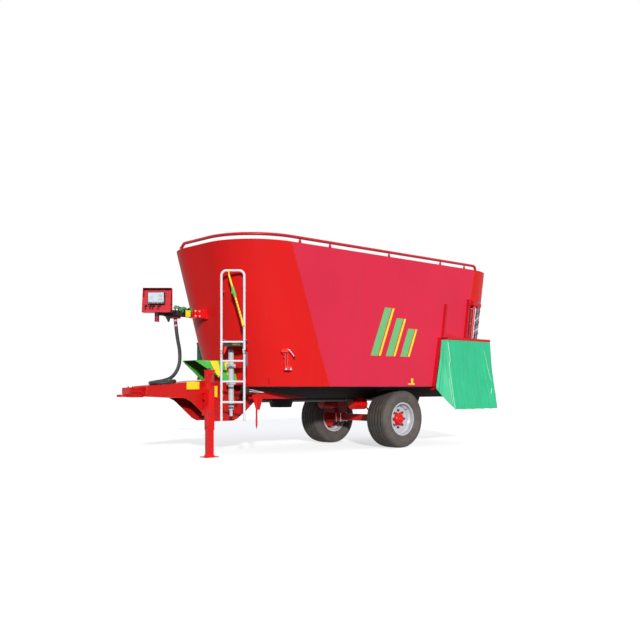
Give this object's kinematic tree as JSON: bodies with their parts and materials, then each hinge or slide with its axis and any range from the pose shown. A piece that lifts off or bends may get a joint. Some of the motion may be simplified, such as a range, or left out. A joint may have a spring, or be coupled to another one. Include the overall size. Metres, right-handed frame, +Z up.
{
  "type": "feed mixer wagon",
  "caption": "Trailed vertical mixer wagon: open tub with tapered ends, two conical augers, side discharge door with curtain, folding ladder, drawbar jack and a single wheeled axle.",
  "frame": {"origin": "on the ground under the middle of the wagon's box, measured without the hanging hoses", "axes": "+X rearwards along the wagon, +Y to its right side, +Z up"},
  "size_m": [6.981, 2.5879, 3.084],
  "materials": {
    "black_rubber": "black hose cover",
    "bright_steel": "hard chrome",
    "dark_metal": "dark grey paint",
    "dark_plastic": "moulded housing",
    "galvanised": "hot-dip galvanised",
    "green_cloth": "coated green cloth",
    "green_paint": "green paint",
    "lamp_red": "red lens",
    "red_paint": "glossy red paint",
    "rim_silver": "silver paint",
    "tyre": "matt rubber",
    "worn_steel": "bare steel polished by fodder",
    "yellow_paint": "yellow paint"
  },
  "bodies": {
    "frame": {"axle_beam": "red_paint", "brake_chamber_left": "red_paint", "brake_chamber_right": "red_paint", "chassis_rail_left": "red_paint", "chassis_rail_right": "red_paint", "chute_bar": "red_paint", "chute_curtain": "green_cloth", "chute_floor": "red_paint", "control_arm": "red_paint", "control_box": "red_paint", "counter_knife_front": "red_paint", "counter_knife_rear": "red_paint", "cross_member_1": "red_paint", "cross_member_2": "red_paint", "cross_member_3": "red_paint", "cross_member_4": "red_paint", "cross_member_5": "red_paint", "cylinder_hanger": "red_paint", "display_unit": "dark_plastic", "door_cylinder": "red_paint", "door_frame": "red_paint", "drawbar": "red_paint", "drive_guard": "green_paint", "gearbox_front": "dark_metal", "gearbox_rear": "dark_metal", "hitch_block": "red_paint", "hose_bundle": "black_rubber", "hose_coil": "black_rubber", "hose_couplers": "black_rubber", "jack_housing": "red_paint", "ladder_handrail": "galvanised", "ladder_platform": "dark_metal", "level_stick": "yellow_paint", "oil_tank": "green_paint", "pipe_post": "galvanised", "rear_lamp_bar": "red_paint", "rear_lamp_left": "lamp_red", "rear_lamp_right": "lamp_red", "top_rail_left": "red_paint", "top_rail_right": "red_paint", "towing_eye": "red_paint", "tub_floor": "worn_steel", "tub_front_shell": "red_paint", "tub_left_wall": "red_paint", "tub_rear_shell": "red_paint", "tub_right_wall": "red_paint"},
    "wheel_left": {"wheel_tyre_left": "tyre", "wheel_rim_left": "rim_silver", "wheel_hub_left": "red_paint"},
    "wheel_right": {"wheel_tyre_right": "tyre", "wheel_rim_right": "rim_silver", "wheel_hub_right": "red_paint"},
    "front_auger": {"auger_front": "worn_steel"},
    "rear_auger": {"auger_rear": "worn_steel"},
    "input_line": {"drive_shaft": "dark_metal"},
    "through_line": {"through_shaft": "dark_metal"},
    "door": {"discharge_door": "red_paint", "door_rod": "bright_steel"},
    "folding_ladder": {"ladder_lower": "galvanised"},
    "jack": {"jack_leg": "red_paint"}
  },
  "joints": [
    {"name": "wheel_left_spin", "type": "hinge", "parent": "frame", "child": "wheel_left", "pos_m": [0.9905, -0.649, 0.465], "axis": [0, 1, 0], "continuous": true},
    {"name": "wheel_right_spin", "type": "hinge", "parent": "frame", "child": "wheel_right", "pos_m": [0.9905, 0.961, 0.465], "axis": [0, 1, 0], "continuous": true},
    {"name": "front_auger_spin", "type": "hinge", "parent": "frame", "child": "front_auger", "pos_m": [-0.7195, 0.156, 0.984], "axis": [0, 0, 1], "continuous": true},
    {"name": "rear_auger_spin", "type": "hinge", "parent": "frame", "child": "rear_auger", "pos_m": [2.2255, 0.156, 0.984], "axis": [0, 0, 1], "continuous": true},
    {"name": "input_line_spin", "type": "hinge", "parent": "frame", "child": "input_line", "pos_m": [-2.1795, 0.156, 0.77], "axis": [1, 0, 0], "continuous": true},
    {"name": "through_line_spin", "type": "hinge", "parent": "frame", "child": "through_line", "pos_m": [-0.7195, 0.156, 0.77], "axis": [1, 0, 0], "continuous": true},
    {"name": "door_slide", "type": "slide", "parent": "frame", "child": "door", "axis": [0.1478, 0, 0.989], "range_m": [0, 0.48]},
    {"name": "ladder_fold", "type": "hinge", "parent": "frame", "child": "folding_ladder", "pos_m": [-2.18083, -0.60786, 1.45], "axis": [-0.7455, 0.6665, 0], "range_deg": [0, 165]},
    {"name": "jack_slide", "type": "slide", "parent": "frame", "child": "jack", "axis": [0, 0, 1], "range_m": [0, 0.3]}
  ],
  "couplings": [
    {"joint": "rear_auger_spin", "follows": "front_auger_spin", "ratio": 1},
    {"joint": "input_line_spin", "follows": "front_auger_spin", "ratio": 16},
    {"joint": "through_line_spin", "follows": "front_auger_spin", "ratio": 16}
  ]
}
